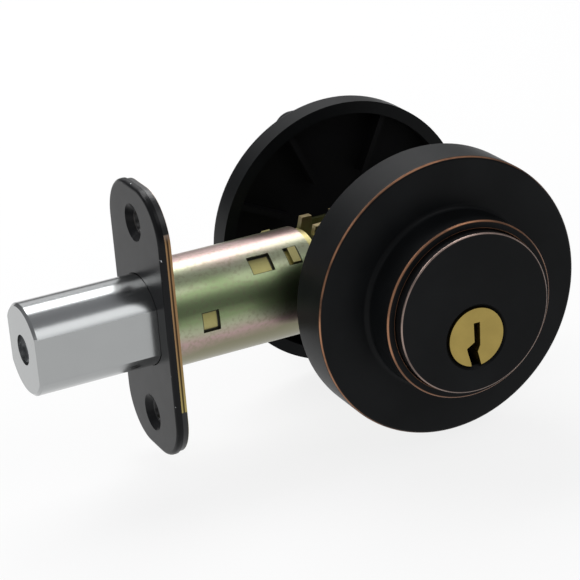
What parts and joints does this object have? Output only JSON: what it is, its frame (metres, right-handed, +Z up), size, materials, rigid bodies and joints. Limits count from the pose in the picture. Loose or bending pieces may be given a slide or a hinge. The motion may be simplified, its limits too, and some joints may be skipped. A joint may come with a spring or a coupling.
{
  "type": "deadbolt door lock",
  "caption": "Tubular deadbolt lock: keyed exterior cylinder on a round rose, interior thumb turn and a bolt unit thrown from a faceplate.",
  "frame": {"origin": "centre of the faceplate's outer face, on the bolt's axis", "axes": "+X along the bolt into the door, -Y the key side, +Y the room side, +Z up"},
  "size_m": [0.1095, 0.0774, 0.0611],
  "materials": {
    "dark_bronze": "satin near-black bronze finish, rubbed to copper along its edges",
    "yellow_zinc": "steel with yellow zinc plating, iridescent green to pink",
    "bright_chrome": "polished chrome plate",
    "satin_brass": "satin brass",
    "plain_steel": "bright zinc-plated steel",
    "spring_steel": "tempered steel",
    "zinc_casting": "bare zinc die casting"
  },
  "bodies": {
    "lockset": {"faceplate": "dark_bronze", "backplate": "yellow_zinc", "bolt_tube": "yellow_zinc", "inner_sleeve": "yellow_zinc", "case_plate_near": "yellow_zinc", "case_plate_far": "yellow_zinc", "case_rivets": "yellow_zinc", "detent_spring": "spring_steel", "exterior_rose": "dark_bronze", "cylinder_housing": "dark_bronze", "chamber_cover": "satin_brass", "driver_pins": "satin_brass", "pin_springs": "spring_steel", "interior_rose": "dark_bronze", "turn_washer": "plain_steel", "mounting_screws": "plain_steel"},
    "plug": {"cylinder_plug": "satin_brass", "plug_cap": "plain_steel", "cap_screws": "plain_steel", "key_pins": "satin_brass"},
    "thumbturn": {"thumbturn": "dark_bronze", "retaining_clip": "plain_steel", "tailpiece": "plain_steel"},
    "hub": {"hub_cam": "zinc_casting", "drive_pin": "plain_steel"},
    "bolt": {"bolt": "bright_chrome", "hardened_insert": "plain_steel", "bolt_carriage": "yellow_zinc", "carriage_rivets": "plain_steel"}
  },
  "joints": [
    {"name": "thumbturn_turn", "type": "hinge", "parent": "lockset", "child": "thumbturn", "pos_m": [0.055, 0, -0.005], "axis": [0, 1, 0], "range_deg": [0, 105]},
    {"name": "hub_turn", "type": "hinge", "parent": "lockset", "child": "hub", "pos_m": [0.055, 0, -0.005], "axis": [0, 1, 0], "range_deg": [0, 105]},
    {"name": "bolt_slide", "type": "slide", "parent": "lockset", "child": "bolt", "axis": [1, 0, 0], "range_m": [0, 0.0254]},
    {"name": "plug_turn", "type": "hinge", "parent": "lockset", "child": "plug", "pos_m": [0.055, 0, -0.005], "axis": [0, 1, 0], "range_deg": [-90, 90]}
  ],
  "couplings": [
    {"joint": "hub_turn", "follows": "thumbturn_turn", "ratio": 1},
    {"joint": "bolt_slide", "follows": "thumbturn_turn", "m_per_rad": 0.01386}
  ]
}
